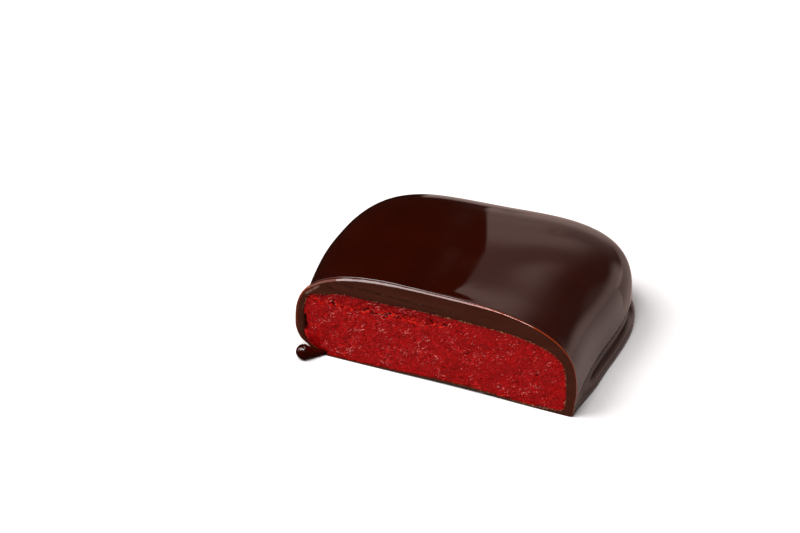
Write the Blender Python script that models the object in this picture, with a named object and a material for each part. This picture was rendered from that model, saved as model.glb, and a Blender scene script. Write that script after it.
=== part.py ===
"""One half of a chocolate-coated cherry toffee, as cut: dark shell with a thin foot, red centre all through.

Objects are in metres, +Z up. The named sizes are millimetres in the sweet's own frame: the cut face is the
plane y = 0 and looks along -Y, the width of the cut runs along X, and its middle stands at x = 0.
"""
import math

import bmesh
import bpy
import numpy as np
from mathutils import Vector

MM = 0.001

# Outline seen from above: a superellipse about the middle of the whole sweet, slightly swollen by direction.
CENTRE_Y = 6.0
HALF_WIDTH = 16.3
BACK_REACH = 18.0
PLAN_POWER = 4.1
SWELL_DEG = (-60.0, -25.0, 5.0, 35.0, 65.0, 95.0, 125.0, 155.0, 185.0, 210.0, 245.0)
SWELL = (0.985, 1.008, 0.988, 1.018, 1.026, 0.980, 0.966, 1.018, 0.996, 0.988, 0.980)
PLAN_STEPS = 6001
CORNER_DEPTH = 2.5

# Domed top above the belly, the widest level of the side.
BELLY_Z = 3.22
DOME_RISE = 8.60
DOME_POWER = 2.92
DOME_REACH = 17.0
BACK_DROP = 0.19
CROSS_WAVE = 0.07
SLANT_WAVE = 0.05

# Side of the shell: offset from the outline and height, from the belly down to the floor.
FOOT_PROFILE = ((0.0, 3.22), (-0.08, 2.85), (-0.22, 2.45), (-0.38, 2.10), (-0.46, 1.85), (-0.36, 1.60),
                (-0.02, 1.25), (0.30, 0.85), (0.40, 0.45), (0.26, 0.12), (-0.10, 0.0))
RIGHT_PROFILE = ((0.0, 3.22), (-0.03, 2.85), (-0.10, 2.35), (-0.19, 1.85), (-0.24, 1.45), (-0.27, 1.10),
                 (-0.30, 0.80), (-0.36, 0.50), (-0.46, 0.24), (-0.62, 0.06), (-0.85, 0.0))
LEFT_PROFILE = ((0.0, 3.22), (-0.06, 2.80), (-0.20, 2.30), (-0.42, 1.80), (-0.72, 1.42), (-1.10, 1.12),
                (-1.50, 0.84), (-1.92, 0.52), (-2.30, 0.25), (-2.65, 0.06), (-3.00, 0.0))
FOOT_FADE = 6.5

# Left side: pressed in just behind the cut, fuller further back.
HOLLOW_AT = 1.6
HOLLOW_DEPTH = 0.45
BULGE_AT = 8.0
BULGE_WIDTH = 3.5
BULGE = 0.25

# Shallow arch of the underside.
ARCH = 0.45
ARCH_MIDDLE = 3.5
ARCH_RIGHT = 11.4
ARCH_LEFT = 16.15
ARCH_BACK = 18.0

# Hollow of the shell that holds the centre, and the thickness of the walls round it.
WALL_RIGHT = 1.22
WALL_BACK = 1.45
WALL_LEFT = 1.02
WALL_SHARES = (0.0, 0.22, 0.38, 0.62, 0.78, 1.0)
FLOOR_SKIN = 0.25
GAP = 0.3
CAVITY_BELLY_Z = 2.5
CAVITY_TOP_Z = 9.03
CAVITY_POWER = 4.4
CAVITY_REACH = 15.0
CAVITY_DIPS = ((0.22, -6.0, 3.2), (0.10, 13.0, 3.0))
CAVITY_PROFILE = ((0.0, 2.50), (-0.01, 2.20), (-0.02, 1.85), (-0.05, 1.50), (-0.09, 1.20), (-0.14, 0.95),
                  (-0.20, 0.76), (-0.28, 0.62), (-0.42, 0.48), (-0.64, 0.36), (-1.00, 0.25))
CAVITY_LEFT_PROFILE = ((0.0, 2.50), (-0.08, 2.20), (-0.18, 1.90), (-0.32, 1.62), (-0.50, 1.38), (-0.72, 1.15),
                       (-0.98, 0.95), (-1.28, 0.76), (-1.60, 0.58), (-1.95, 0.40), (-2.35, 0.25))

# Broken front of the centre: how far it lies behind the cut, its lumps, and the torn strip under the coating.
FRONT_RECESS = 0.12
COARSE_LUMPS = 0.07
FINE_LUMPS = 0.04
TORN_X = (-14.6, -12.7, -10.7, -9.4, -7.7, -3.8, 0.8, 6.0)
TORN_LOW_Z = (6.9, 6.5, 5.9, 6.2, 7.0, 7.5, 8.2, 8.7)
TORN_END_X = (-1.0, 3.0)
TORN_DEPTH = 0.22
TORN_UNEVEN = 0.40

# Bead of coating at the left foot corner and the tail that runs from it under the cut: x, y, z and radius.
BEAD_AT = (-14.55, -1.30, 0.84)
BEAD_RADIUS = 0.84
BEAD_SEGMENTS = 20
BEAD_RINGS = 12
TAIL_PATH = ((-14.30, -1.10, 0.62, 0.58), (-13.75, -0.70, 0.50, 0.47), (-13.15, -0.20, 0.40, 0.37),
             (-12.55, 0.35, 0.32, 0.28), (-11.90, 0.95, 0.26, 0.20))
TAIL_HEADING = (0.76, 0.65)
TAIL_SIDES = 14

# Grids: cells from the middle to each side, from front to back, and down the side.
SHELL_GRID = (14, 12, 9)
CENTRE_GRID = (24, 9, 14)
CUT_RING_SHARE = 1.0 / 3.0
MERGE_DISTANCE = 1e-7
SHARP_DEGREES = 40.0

CHOCOLATE = (0.030, 0.010, 0.005)
CHERRY_RED = (0.30, 0.006, 0.006)


def clear_scene():
    for obj in list(bpy.data.objects):
        bpy.data.objects.remove(obj, do_unlink=True)


def smooth_step(value, low, high):
    t = np.clip((np.asarray(value, float) - low) / (high - low), 0.0, 1.0)
    return t * t * (3.0 - 2.0 * t)


def smooth_curve(at, keys, values):
    """Smooth interpolation through keyed values, slopes from the neighbours."""
    keys = np.asarray(keys, float)
    values = np.asarray(values, float)
    slope = np.gradient(values, keys)
    at = np.clip(np.asarray(at, float), keys[0], keys[-1])
    k = np.clip(np.searchsorted(keys, at, side="right") - 1, 0, len(keys) - 2)
    span = keys[k + 1] - keys[k]
    t = (at - keys[k]) / span
    a = (2 * t ** 3 - 3 * t ** 2 + 1) * values[k] + (t ** 3 - 2 * t ** 2 + t) * span * slope[k]
    b = (3 * t ** 2 - 2 * t ** 3) * values[k + 1] + (t ** 3 - t ** 2) * span * slope[k + 1]
    return a + b


def plan_radius(angle):
    """Radius of the body seen from above, about the middle of the whole sweet."""
    c = np.abs(np.cos(angle) / HALF_WIDTH) ** PLAN_POWER
    s = np.abs(np.sin(angle) / BACK_REACH) ** PLAN_POWER
    swell = smooth_curve(np.degrees(angle), SWELL_DEG, SWELL)
    return (c + s) ** (-1.0 / PLAN_POWER) * swell


def plan_angle(x, y):
    angle = np.arctan2(y - CENTRE_Y, x)
    return np.where(angle < -0.5 * math.pi, angle + 2.0 * math.pi, angle)


class Plan:
    """The half outline behind the cut, by share of its length from the right cut corner to the left one."""

    def __init__(self, inset_right=0.0, inset_back=0.0, inset_left=0.0):
        angle = np.linspace(-0.5 * math.pi, 1.5 * math.pi, PLAN_STEPS)
        r = plan_radius(angle)
        x = r * np.cos(angle)
        y = CENTRE_Y + r * np.sin(angle)
        keep = y >= 0.0
        x = x[keep]
        y = y[keep]
        y[0] = 0.0
        y[-1] = 0.0
        run = np.concatenate([[0.0], np.cumsum(np.hypot(np.diff(x), np.diff(y)))])
        self.share = run / run[-1]
        nx = np.gradient(y, run)
        ny = -np.gradient(x, run) * smooth_step(y, 0.0, CORNER_DEPTH)
        size = np.hypot(nx, ny)
        self.nx = nx / size
        self.ny = ny / size
        inset = smooth_curve(self.share, WALL_SHARES,
                             (inset_right, inset_right, inset_back, inset_back, inset_left, inset_left))
        self.x = x - self.nx * inset
        self.y = y - self.ny * inset

    def at(self, share):
        """Place on the outline and the direction out of it."""
        return tuple(float(np.interp(share, self.share, a)) for a in (self.x, self.y, self.nx, self.ny))


def gentle_waves(x, y):
    """Slow unevenness of the set coating."""
    crossing = CROSS_WAVE * np.sin(0.31 * x + 0.9) * np.cos(0.27 * y + 0.4)
    return crossing + SLANT_WAVE * np.sin(0.47 * x - 0.36 * y + 2.1)


def dome_height(x, y):
    ratio = np.hypot(x, y - CENTRE_Y) / plan_radius(plan_angle(x, y))
    ratio = np.minimum(ratio, 1.0)
    shape = (1.0 - ratio ** DOME_POWER) ** (1.0 / DOME_POWER)
    rise = DOME_RISE - BACK_DROP * (y / 20.0) ** 2
    return BELLY_Z + rise * shape + gentle_waves(x, y) * smooth_step(shape, 0.25, 0.9)


def side_hollow(x, y, z):
    """Sideways shift of the skin on the left: in just behind the cut edge, out further back."""
    left = smooth_step(-x, 8.0, 14.0) * smooth_step(z, 1.2, 4.0)
    near = (y / HOLLOW_AT) ** 2 * np.exp(2.0 - 2.0 * y / HOLLOW_AT)
    back = np.exp(-((y - BULGE_AT) / BULGE_WIDTH) ** 2)
    return left * (HOLLOW_DEPTH * near - BULGE * back)


def arch_height(x, y):
    """Shallow hollow of the underside, exactly flat near the edge."""
    half_width = np.where(x > ARCH_MIDDLE, ARCH_RIGHT, ARCH_LEFT)
    across = np.clip(1.0 - ((x - ARCH_MIDDLE) / half_width) ** 2, 0.0, 1.0) ** 3
    deep = np.clip(1.0 - (y / ARCH_BACK) ** 2, 0.0, 1.0) ** 2
    return ARCH * across * deep


def torn_band(x, z):
    """Depth of the broken strip under the coating, from the left corner to past the middle."""
    low = smooth_curve(x, TORN_X, TORN_LOW_Z)
    inside = smooth_step(z, low - 0.15, low + 0.25) * (1.0 - smooth_step(x, *TORN_END_X))
    ragged = 0.5 + 0.5 * np.sin(2.3 * x + 1.7 * np.sin(1.9 * z)) * np.sin(3.1 * z - 0.8 * x + 0.5)
    return inside * (TORN_DEPTH + TORN_UNEVEN * ragged)


def centre_lumps(x, z):
    """Lumps of the broken centre."""
    coarse = np.sin(1.9 * x + 1.1 * np.sin(1.3 * z)) * np.sin(2.2 * z + 0.7 * np.sin(0.9 * x + 1.0))
    fine = np.sin(3.7 * x - 1.2 * z + 0.6) * np.sin(2.9 * z + 1.4 * x)
    return COARSE_LUMPS * coarse + FINE_LUMPS * fine


def ring_spacing(power, rise, reach, count=400):
    """Shares of a dome's profile length, and the radius there as a share of the whole radius."""
    t = np.sin(np.linspace(0.0, 0.5 * math.pi, count)) ** (2.0 / power)
    z = rise * (1.0 - np.minimum(t, 1.0) ** power) ** (1.0 / power)
    run = np.concatenate([[0.0], np.cumsum(np.hypot(np.diff(t * reach), np.diff(z)))])
    return run / run[-1], t


class Skin:
    """Open-fronted skin: a top grid, a wall down from its edge and a floor grid, all sharing their edges."""

    def __init__(self, grid, plan, spacing, top_height, wall_profile, floor_height):
        self.nx, self.ny, self.levels = grid
        self.rim = 2 * self.ny + 2 * self.nx
        self.points = []
        self.faces = []
        self.top = {}
        self.wall = {}
        self.floor = {}
        self.add_top(plan, spacing, top_height)
        foot = self.add_wall(plan, wall_profile)
        self.add_floor(foot, floor_height)
        self.add_faces()

    def add(self, x, y, z):
        self.points.append((float(x), float(y), float(z)))
        return len(self.points) - 1

    def cells(self):
        return [(i, j) for j in range(self.ny + 1) for i in range(-self.nx, self.nx + 1)]

    def place(self, i, j):
        """Ring (0 middle of the cut, 1 edge) and share of the outline for a corner of the grid."""
        a = abs(i) / self.nx
        b = j / self.ny
        ring = max(a, b)
        if ring == 0.0:
            return 0.0, 0.5
        if a >= b:
            along = b / ring * self.ny / self.rim
            return ring, along if i > 0 else 1.0 - along
        return ring, (self.ny + (1.0 - i / self.nx / ring) * self.nx) / self.rim

    def rim_cell(self, q):
        """Corner of the grid at a step along its edge, from the right cut corner to the left one."""
        if q <= self.ny:
            return self.nx, q
        if q <= self.ny + 2 * self.nx:
            return self.nx - (q - self.ny), self.ny
        return -self.nx, self.rim - q

    def rim_step(self, i, j):
        if i == self.nx:
            return j
        if i == -self.nx:
            return self.rim - j
        return self.ny + self.nx - i

    def add_top(self, plan, spacing, top_height):
        for i, j in self.cells():
            ring, share = self.place(i, j)
            t = float(np.interp(ring, *spacing)) if ring < 1.0 else 1.0
            x, y = plan.at(share)[:2]
            self.top[i, j] = self.add(x * t, y * t, top_height(x * t, y * t, t))

    def add_wall(self, plan, wall_profile):
        """Wall below the edge of the top; gives back where it meets the floor, step by step."""
        for q in range(self.rim + 1):
            self.wall[q, 0] = self.top[self.rim_cell(q)]
            x, y, out_x, out_y = plan.at(q / self.rim)
            length, offsets, heights = wall_profile(q / self.rim, y)
            for k in range(1, self.levels + 1):
                d = float(np.interp(k / self.levels, length, offsets))
                z = float(np.interp(k / self.levels, length, heights))
                self.wall[q, k] = self.add(x + out_x * d, y + out_y * d, z)
        return np.array([self.points[self.wall[q, self.levels]] for q in range(self.rim + 1)])

    def add_floor(self, foot, floor_height):
        steps = np.arange(self.rim + 1)
        for i, j in self.cells():
            ring, share = self.place(i, j)
            if abs(i) == self.nx or j == self.ny:
                self.floor[i, j] = self.wall[self.rim_step(i, j), self.levels]
                continue
            x = float(np.interp(share * self.rim, steps, foot[:, 0])) * ring
            y = float(np.interp(share * self.rim, steps, foot[:, 1])) * ring
            self.floor[i, j] = self.add(x, y, floor_height(x, y))

    def add_faces(self):
        t = self.top
        f = self.floor
        w = self.wall
        for j in range(self.ny):
            for i in range(-self.nx, self.nx):
                self.faces.append((t[i, j], t[i + 1, j], t[i + 1, j + 1], t[i, j + 1]))
                self.faces.append((f[i, j + 1], f[i + 1, j + 1], f[i + 1, j], f[i, j]))
        for q in range(self.rim):
            for k in range(self.levels):
                self.faces.append((w[q, k], w[q, k + 1], w[q + 1, k + 1], w[q + 1, k]))

    def loop(self):
        """The open front edge, once round: over the top to the left, down, along the floor, up again."""
        over = [self.top[i, 0] for i in range(self.nx, -self.nx - 1, -1)]
        left = [self.wall[self.rim, k] for k in range(1, self.levels + 1)]
        under = [self.floor[i, 0] for i in range(-self.nx + 1, self.nx)]
        right = [self.wall[0, k] for k in range(self.levels, 0, -1)]
        return over + left + under + right


def blend_profiles(side, right, left):
    """Wall profile by place: the side's own, turning into the two corner profiles close to the cut."""
    side = np.array(side)
    corners = {True: np.array(right), False: np.array(left)}
    length = np.concatenate([[0.0], np.cumsum(np.hypot(np.diff(side[:, 0]), np.diff(side[:, 1])))])
    length = length / length[-1]

    def profile(share, y):
        near = 1.0 - float(smooth_step(y, 0.0, FOOT_FADE))
        mix = side * (1.0 - near) + corners[share < 0.5] * near
        return length, mix[:, 0], mix[:, 1]

    return profile


def outer_skin():
    """Outside of the coating, with its left side pressed in behind the cut."""

    def top_height(x, y, t):
        return BELLY_Z if t >= 1.0 else float(dome_height(x, y))

    spacing = ring_spacing(DOME_POWER, DOME_RISE, DOME_REACH)
    walls = blend_profiles(FOOT_PROFILE, RIGHT_PROFILE, LEFT_PROFILE)
    skin = Skin(SHELL_GRID, Plan(), spacing, top_height, walls, arch_height)
    skin.points = [(x + float(side_hollow(x, y, z)), y, z) for x, y, z in skin.points]
    return skin


def inner_skin(grid, shrink):
    """Skin of the hollow (shrink 0) or of the centre that lies in it (shrink is the gap)."""
    plan = Plan(WALL_RIGHT + shrink, WALL_BACK + shrink, WALL_LEFT + shrink)
    crown = CAVITY_TOP_Z - shrink
    spacing = ring_spacing(CAVITY_POWER, crown - CAVITY_BELLY_Z, CAVITY_REACH)

    def top_height(x, y, t):
        shape = (1.0 - min(t, 1.0) ** CAVITY_POWER) ** (1.0 / CAVITY_POWER)
        dip = sum(deep * math.exp(-((x - at) / wide) ** 2) for deep, at, wide in CAVITY_DIPS)
        return CAVITY_BELLY_Z + (crown - CAVITY_BELLY_Z - dip) * shape

    def floor_height(x, y):
        return FLOOR_SKIN + shrink + float(arch_height(x, y))

    def lifted(profile):
        profile = np.array(profile)
        down = (CAVITY_BELLY_Z - profile[:, 1]) / (CAVITY_BELLY_Z - FLOOR_SKIN)
        profile[:, 1] += shrink * down
        return profile

    walls = blend_profiles(lifted(CAVITY_PROFILE), lifted(CAVITY_PROFILE), lifted(CAVITY_LEFT_PROFILE))
    return Skin(grid, plan, spacing, top_height, walls, floor_height)


def shell_mesh():
    """Outer skin and hollow joined by the flat cut face between their front edges."""
    outer = outer_skin()
    hollow = inner_skin(SHELL_GRID, 0.0)
    points = outer.points + hollow.points
    base = len(outer.points)
    faces = outer.faces + [tuple(base + v for v in reversed(f)) for f in hollow.faces]
    outside = outer.loop()
    inside = [base + v for v in hollow.loop()]
    middle = []
    for u, v in zip(outside, inside):
        start = np.array(points[u])
        middle.append(len(points))
        points.append(tuple(start + CUT_RING_SHARE * (np.array(points[v]) - start)))
    for first, second in ((outside, middle), (middle, inside)):
        count = len(first)
        for k in range(count):
            m = (k + 1) % count
            faces.append((first[k], first[m], second[m], second[k]))
    return points, faces


def patch_point(edges, u, v):
    """Point of a smooth patch between four edges, from their points there and the patch's four corners."""
    up, down, left, right, corners = edges
    flat = (1 - u) * ((1 - v) * corners[0] + v * corners[1]) + u * ((1 - v) * corners[2] + v * corners[3])
    return (1 - v) * up + v * down + (1 - u) * left + u * right - flat


def centre_mesh():
    """Centre: the shrunken hollow closed by a broken front face."""
    skin = inner_skin(CENTRE_GRID, GAP)
    nx = skin.nx
    levels = skin.levels
    grid = {}
    for i in range(-nx, nx + 1):
        grid[i, 0] = skin.top[i, 0]
        grid[i, levels] = skin.floor[i, 0]
    for k in range(levels + 1):
        grid[-nx, k] = skin.wall[skin.rim, k]
        grid[nx, k] = skin.wall[0, k]

    def spot(i, k):
        return np.array(skin.points[grid[i, k]])

    corners = [spot(i, k) for i in (-nx, nx) for k in (0, levels)]
    for k in range(1, levels):
        v = k / levels
        for i in range(-nx + 1, nx):
            u = (i + nx) / (2.0 * nx)
            x, y, z = patch_point((spot(i, 0), spot(i, levels), spot(-nx, k), spot(nx, k), corners), u, v)
            from_side = min(u, 1.0 - u) * nx
            calm = min(1.0, from_side, v * levels * 0.8, (1.0 - v) * levels * 0.6)
            depth = calm * (FRONT_RECESS + float(torn_band(x, z)) + float(centre_lumps(x, z)))
            grid[i, k] = skin.add(x, depth, z)
    for k in range(levels):
        for i in range(-nx, nx):
            skin.faces.append((grid[i, k], grid[i, k + 1], grid[i + 1, k + 1], grid[i + 1, k]))
    return skin.points, skin.faces


def principled(name, colour, roughness, coat=0.0):
    material = bpy.data.materials.new(name)
    material.use_nodes = True
    shader = material.node_tree.nodes["Principled BSDF"]
    shader.inputs["Base Color"].default_value = (*colour, 1.0)
    shader.inputs["Roughness"].default_value = roughness
    shader.inputs["Metallic"].default_value = 0.0
    shader.inputs["Coat Weight"].default_value = coat
    return material


def to_metres(point, shift):
    return [(c + s) * MM for c, s in zip(point, shift)]


def make_object(name, mesh_data, collection, material, shift):
    points, faces = mesh_data
    mesh = bpy.data.meshes.new(name)
    mesh.from_pydata([to_metres(p, shift) for p in points], [], faces)
    mesh.validate()
    bm = bmesh.new()
    bm.from_mesh(mesh)
    bmesh.ops.remove_doubles(bm, verts=bm.verts, dist=MERGE_DISTANCE)
    bmesh.ops.recalc_face_normals(bm, faces=bm.faces)
    bm.to_mesh(mesh)
    bm.free()
    obj = bpy.data.objects.new(name, mesh)
    mesh.materials.append(material)
    collection.objects.link(obj)
    return obj


def shade_round(obj):
    for polygon in obj.data.polygons:
        polygon.use_smooth = True
    obj.data.set_sharp_from_angle(angle=math.radians(SHARP_DEGREES))


def form_object(name, bm, collection):
    """Wire-drawn helper that is fused to the shell."""
    mesh = bpy.data.meshes.new(name)
    bm.to_mesh(mesh)
    bm.free()
    obj = bpy.data.objects.new(name, mesh)
    obj.hide_render = True
    obj.display_type = "WIRE"
    collection.objects.link(obj)
    return obj


def bead_form(collection, shift):
    """Round bead of coating, flat where it stands."""
    bm = bmesh.new()
    bmesh.ops.create_uvsphere(bm, u_segments=BEAD_SEGMENTS, v_segments=BEAD_RINGS, radius=BEAD_RADIUS * MM)
    bmesh.ops.translate(bm, vec=Vector(to_metres(BEAD_AT, shift)), verts=bm.verts)
    for vert in bm.verts:
        vert.co.z = max(vert.co.z, 0.0)
    return form_object("bead_form", bm, collection)


def tail_form(collection, shift):
    """Tapering tail from the bead to the base, under the left cut corner."""
    heading = Vector((*TAIL_HEADING, 0.0)).normalized()
    across = Vector((-heading.y, heading.x, 0.0))
    up = Vector((0.0, 0.0, 1.0))
    bm = bmesh.new()
    rings = []
    for x, y, z, radius in TAIL_PATH:
        ring = []
        for k in range(TAIL_SIDES):
            a = 2.0 * math.pi * k / TAIL_SIDES
            p = Vector((x, y, z)) + across * (radius * math.cos(a)) + up * (radius * math.sin(a))
            p.z = max(p.z, 0.0)
            ring.append(bm.verts.new(to_metres(p, shift)))
        rings.append(ring)
    for first, second in zip(rings, rings[1:]):
        for k in range(TAIL_SIDES):
            m = (k + 1) % TAIL_SIDES
            bm.faces.new((first[k], first[m], second[m], second[k]))
    bm.faces.new(list(reversed(rings[0])))
    bm.faces.new(rings[-1])
    bmesh.ops.recalc_face_normals(bm, faces=bm.faces)
    return form_object("tail_form", bm, collection)


def fuse(obj, forms):
    for form in forms:
        modifier = obj.modifiers.new("fuse " + form.name, "BOOLEAN")
        modifier.operation = "UNION"
        modifier.solver = "EXACT"
        modifier.object = form


def main():
    clear_scene()
    sweet = bpy.data.collections.new("cherry_toffee")
    forms = bpy.data.collections.new("forms")
    bpy.context.scene.collection.children.link(sweet)
    bpy.context.scene.collection.children.link(forms)
    shell_data = shell_mesh()
    spots = np.array(shell_data[0])
    low = np.minimum(spots.min(axis=0), np.array(BEAD_AT) - BEAD_RADIUS)
    high = spots.max(axis=0)
    shift = (-(low[0] + high[0]) / 2.0, -(low[1] + high[1]) / 2.0, 0.0)
    dark = principled("dark_chocolate", CHOCOLATE, 0.28, 0.3)
    red = principled("cherry_red", CHERRY_RED, 0.45)
    shell = make_object("chocolate_shell", shell_data, sweet, dark, shift)
    centre = make_object("cherry_centre", centre_mesh(), sweet, red, shift)
    fuse(shell, (bead_form(forms, shift), tail_form(forms, shift)))
    shade_round(shell)
    shade_round(centre)


main()
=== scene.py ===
"""Looks of one half of a chocolate-coated cherry toffee: glossy shell, matte cut edge, fibrous red centre.

Lengths in the form functions are millimetres in the sweet's own frame. The cut face is the plane y = 0, the
width runs along x, and the middle of the cut stands at x = 0. MM and the shift lead to the part's frame.
"""
import math

import bpy
import numpy as np
from mathutils import Matrix, Vector


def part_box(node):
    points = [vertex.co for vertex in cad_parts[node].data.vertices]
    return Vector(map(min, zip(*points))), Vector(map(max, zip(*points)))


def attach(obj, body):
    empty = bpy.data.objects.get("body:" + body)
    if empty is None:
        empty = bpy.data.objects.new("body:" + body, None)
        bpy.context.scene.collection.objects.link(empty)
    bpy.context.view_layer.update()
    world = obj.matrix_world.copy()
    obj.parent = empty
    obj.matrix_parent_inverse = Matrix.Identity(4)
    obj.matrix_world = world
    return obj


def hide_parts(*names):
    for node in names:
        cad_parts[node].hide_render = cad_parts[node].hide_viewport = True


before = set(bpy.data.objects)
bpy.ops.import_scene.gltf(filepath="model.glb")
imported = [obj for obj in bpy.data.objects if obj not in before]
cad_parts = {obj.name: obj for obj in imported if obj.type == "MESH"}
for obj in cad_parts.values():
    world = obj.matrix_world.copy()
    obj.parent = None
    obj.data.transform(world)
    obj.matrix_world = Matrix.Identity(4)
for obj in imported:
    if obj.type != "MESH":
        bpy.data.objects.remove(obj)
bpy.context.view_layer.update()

MM = 0.001

# Plan and dome of the body.
CENTRE_Y = 6.0
HALF_WIDTH = 16.3
BACK_REACH = 18.0
PLAN_POWER = 4.1
PLAN_SAMPLES = 12001
SWELL_DEG = (-60.0, -25.0, 5.0, 35.0, 65.0, 95.0, 125.0, 155.0, 185.0, 210.0, 245.0)
SWELL = (0.985, 1.008, 0.988, 1.018, 1.026, 0.980, 0.966, 1.018, 0.996, 0.988, 0.980)
BELLY_Z = 3.22
DOME_RISE = 8.60
DOME_POWER = 2.92
DOME_REACH = 17.0
BACK_DROP = 0.19
BACK_DROP_Y = 20.0
WAVE_HEIGHT = 0.02

# Underside, foot, and the side just behind the left cut edge: pressed in, then fuller.
ARCH = 0.45
ARCH_X = 3.5
ARCH_RIGHT = 6.0
ARCH_LEFT = 8.5
ARCH_SPREAD = 1.9
ARCH_END_Y = 18.0
FOOT_FADE = 6.5
HOLLOW_AT = 1.6
HOLLOW_DEPTH = 0.45
FULLER_AT = 8.0
FULLER_WIDTH = 3.5
FULLER_RISE = 0.25

# Walls, the hollow for the centre with its dips (x, width, depth), the base's thickness, and the bead.
WALL_RIGHT = 1.22
WALL_LEFT = 1.02
CAVITY_BELLY_Z = 2.5
CAVITY_TOP_Z = 9.03
CAVITY_POWER = 4.4
CAVITY_LEFT_POWER = 5.8
CAVITY_REACH = 15.0
CAVITY_MIDDLE = (0.0, 0.0, 4.4)
CAVITY_START_Y = 0.25
CAVITY_END_Y = 22.2
CAVITY_DIPS = ((-6.0, 3.2, 0.22), (13.0, 3.0, 0.10), (-12.6, 1.7, 0.52), (-8.8, 2.0, 0.18))
BASE_X = (-15.0, -12.0, 9.0, 11.5, 13.0, 15.5)
BASE_THICK = (0.12, 0.09, 0.09, 0.16, 0.34, 0.38)
BEAD_AT = (-14.55, -1.30, 0.84)
BEAD_RADIUS = 0.84

# Walls from the belly down: offset and height.
FOOT_PROFILE = ((0.0, 3.22), (-0.08, 2.85), (-0.22, 2.45), (-0.38, 2.10), (-0.46, 1.85), (-0.36, 1.60),
                (-0.02, 1.25), (0.30, 0.85), (0.40, 0.45), (0.26, 0.12), (-0.10, 0.0))
RIGHT_PROFILE = ((0.0, 3.22), (-0.03, 2.85), (-0.10, 2.35), (-0.19, 1.85), (-0.24, 1.45), (-0.27, 1.10),
                 (-0.30, 0.80), (-0.36, 0.50), (-0.46, 0.24), (-0.62, 0.06), (-0.85, 0.0))
LEFT_PROFILE = ((0.0, 3.22), (-0.06, 2.80), (-0.20, 2.30), (-0.42, 1.80), (-0.72, 1.42), (-1.10, 1.12),
                (-1.50, 0.84), (-1.92, 0.52), (-2.30, 0.25), (-2.65, 0.06), (-3.00, 0.0))
CAVITY_PROFILE = ((0.0, 2.50), (-0.01, 2.20), (-0.02, 1.85), (-0.05, 1.50), (-0.09, 1.20), (-0.14, 0.95),
                  (-0.20, 0.80), (-0.30, 0.68), (-0.46, 0.56), (-0.72, 0.46), (-1.10, 0.38))
CAVITY_LEFT_PROFILE = ((0.0, 2.50), (-0.08, 2.20), (-0.18, 1.90), (-0.32, 1.62), (-0.50, 1.38), (-0.72, 1.15),
                       (-0.98, 0.95), (-1.28, 0.76), (-1.60, 0.56), (-1.95, 0.34), (-2.35, 0.12))

# Grid of the skin: columns from the middle to a side, rows to the back, close rows behind the cut edge.
COLUMNS = 132
ROWS = 62
LEVELS = 34
EDGE_ROWS = (0.0, 0.03, 0.06, 0.10, 0.14, 0.18, 0.22, 0.27, 0.33, 0.40, 0.50, 0.62)
NATURAL_ROW = 4
FACE_RINGS = 26
CENTRE_COLUMNS = 520
CENTRE_ROWS = 155
TUNNEL_RINGS = 7

# Camera, fitted to the outline of the sweet in the photo.
CAMERA_AZIMUTH = 22.48
CAMERA_ELEVATION = 37.62
CAMERA_DISTANCE = 450.0
PIXELS_PER_MM = 9.343
PHOTO_SIZE = (800.0, 533.0)
CUT_MIDDLE_PIXEL = (432.93, 382.47)


def smooth_step(value, low, high):
    t = np.clip((np.asarray(value, float) - low) / (high - low), 0.0, 1.0)
    return t * t * (3.0 - 2.0 * t)


def smooth_curve(at, keys, values):
    """Smooth interpolation through keyed values, slopes from the neighbours."""
    keys = np.asarray(keys, float)
    values = np.asarray(values, float)
    slope = np.gradient(values, keys)
    at = np.clip(np.asarray(at, float), keys[0], keys[-1])
    k = np.clip(np.searchsorted(keys, at, side="right") - 1, 0, len(keys) - 2)
    span = keys[k + 1] - keys[k]
    t = (at - keys[k]) / span
    a = (2 * t ** 3 - 3 * t ** 2 + 1) * values[k] + (t ** 3 - 2 * t ** 2 + t) * span * slope[k]
    b = (3 * t ** 2 - 2 * t ** 3) * values[k + 1] + (t ** 3 - t ** 2) * span * slope[k + 1]
    return a + b


HASH_FACTORS = (73856093, 19349663, 83492791)
SEED_FACTOR = 2654435761
MIX_FACTOR = 1274126177
HASH_MASK = 0x7FFFFFFF


def noise(points, size, seed):
    """Gradient noise, about -1 to 1, of features as wide as size."""
    p = np.asarray(points, float) / size + 17.3 * (seed + 1)
    base = np.floor(p).astype(np.int64)
    f = p - base
    w = f * f * f * (f * (f * 6.0 - 15.0) + 10.0)
    total = np.zeros(len(p))
    for corner in range(8):
        step = np.array([(corner >> k) & 1 for k in range(3)])
        cell = (base + step) & 0xFFFF
        h = np.bitwise_xor.reduce(cell * HASH_FACTORS, axis=1) ^ (seed * SEED_FACTOR & HASH_MASK)
        h = (h ^ (h >> 13)) * MIX_FACTOR & HASH_MASK
        h = h ^ (h >> 16)
        angle = (h & 1023) * (2.0 * math.pi / 1024.0)
        rise = ((h >> 10) & 1023) / 511.5 - 1.0
        flat = np.sqrt(np.maximum(0.0, 1.0 - rise ** 2))
        away = f - step
        grade = away[:, 0] * flat * np.cos(angle) + away[:, 1] * flat * np.sin(angle) + away[:, 2] * rise
        share = np.prod(np.where(step == 1, w, 1.0 - w), axis=1)
        total += share * grade
    return total * 1.6


def plan_radius(angle):
    """Radius of the body seen from above, about the middle of the whole sweet."""
    c = np.abs(np.cos(angle) / HALF_WIDTH) ** PLAN_POWER
    s = np.abs(np.sin(angle) / BACK_REACH) ** PLAN_POWER
    swell = smooth_curve(np.degrees(angle), SWELL_DEG, SWELL)
    return (c + s) ** (-1.0 / PLAN_POWER) * swell


def plan_angle(x, y):
    angle = np.arctan2(y - CENTRE_Y, x)
    return np.where(angle < -0.5 * math.pi, angle + 2.0 * math.pi, angle)


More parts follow.
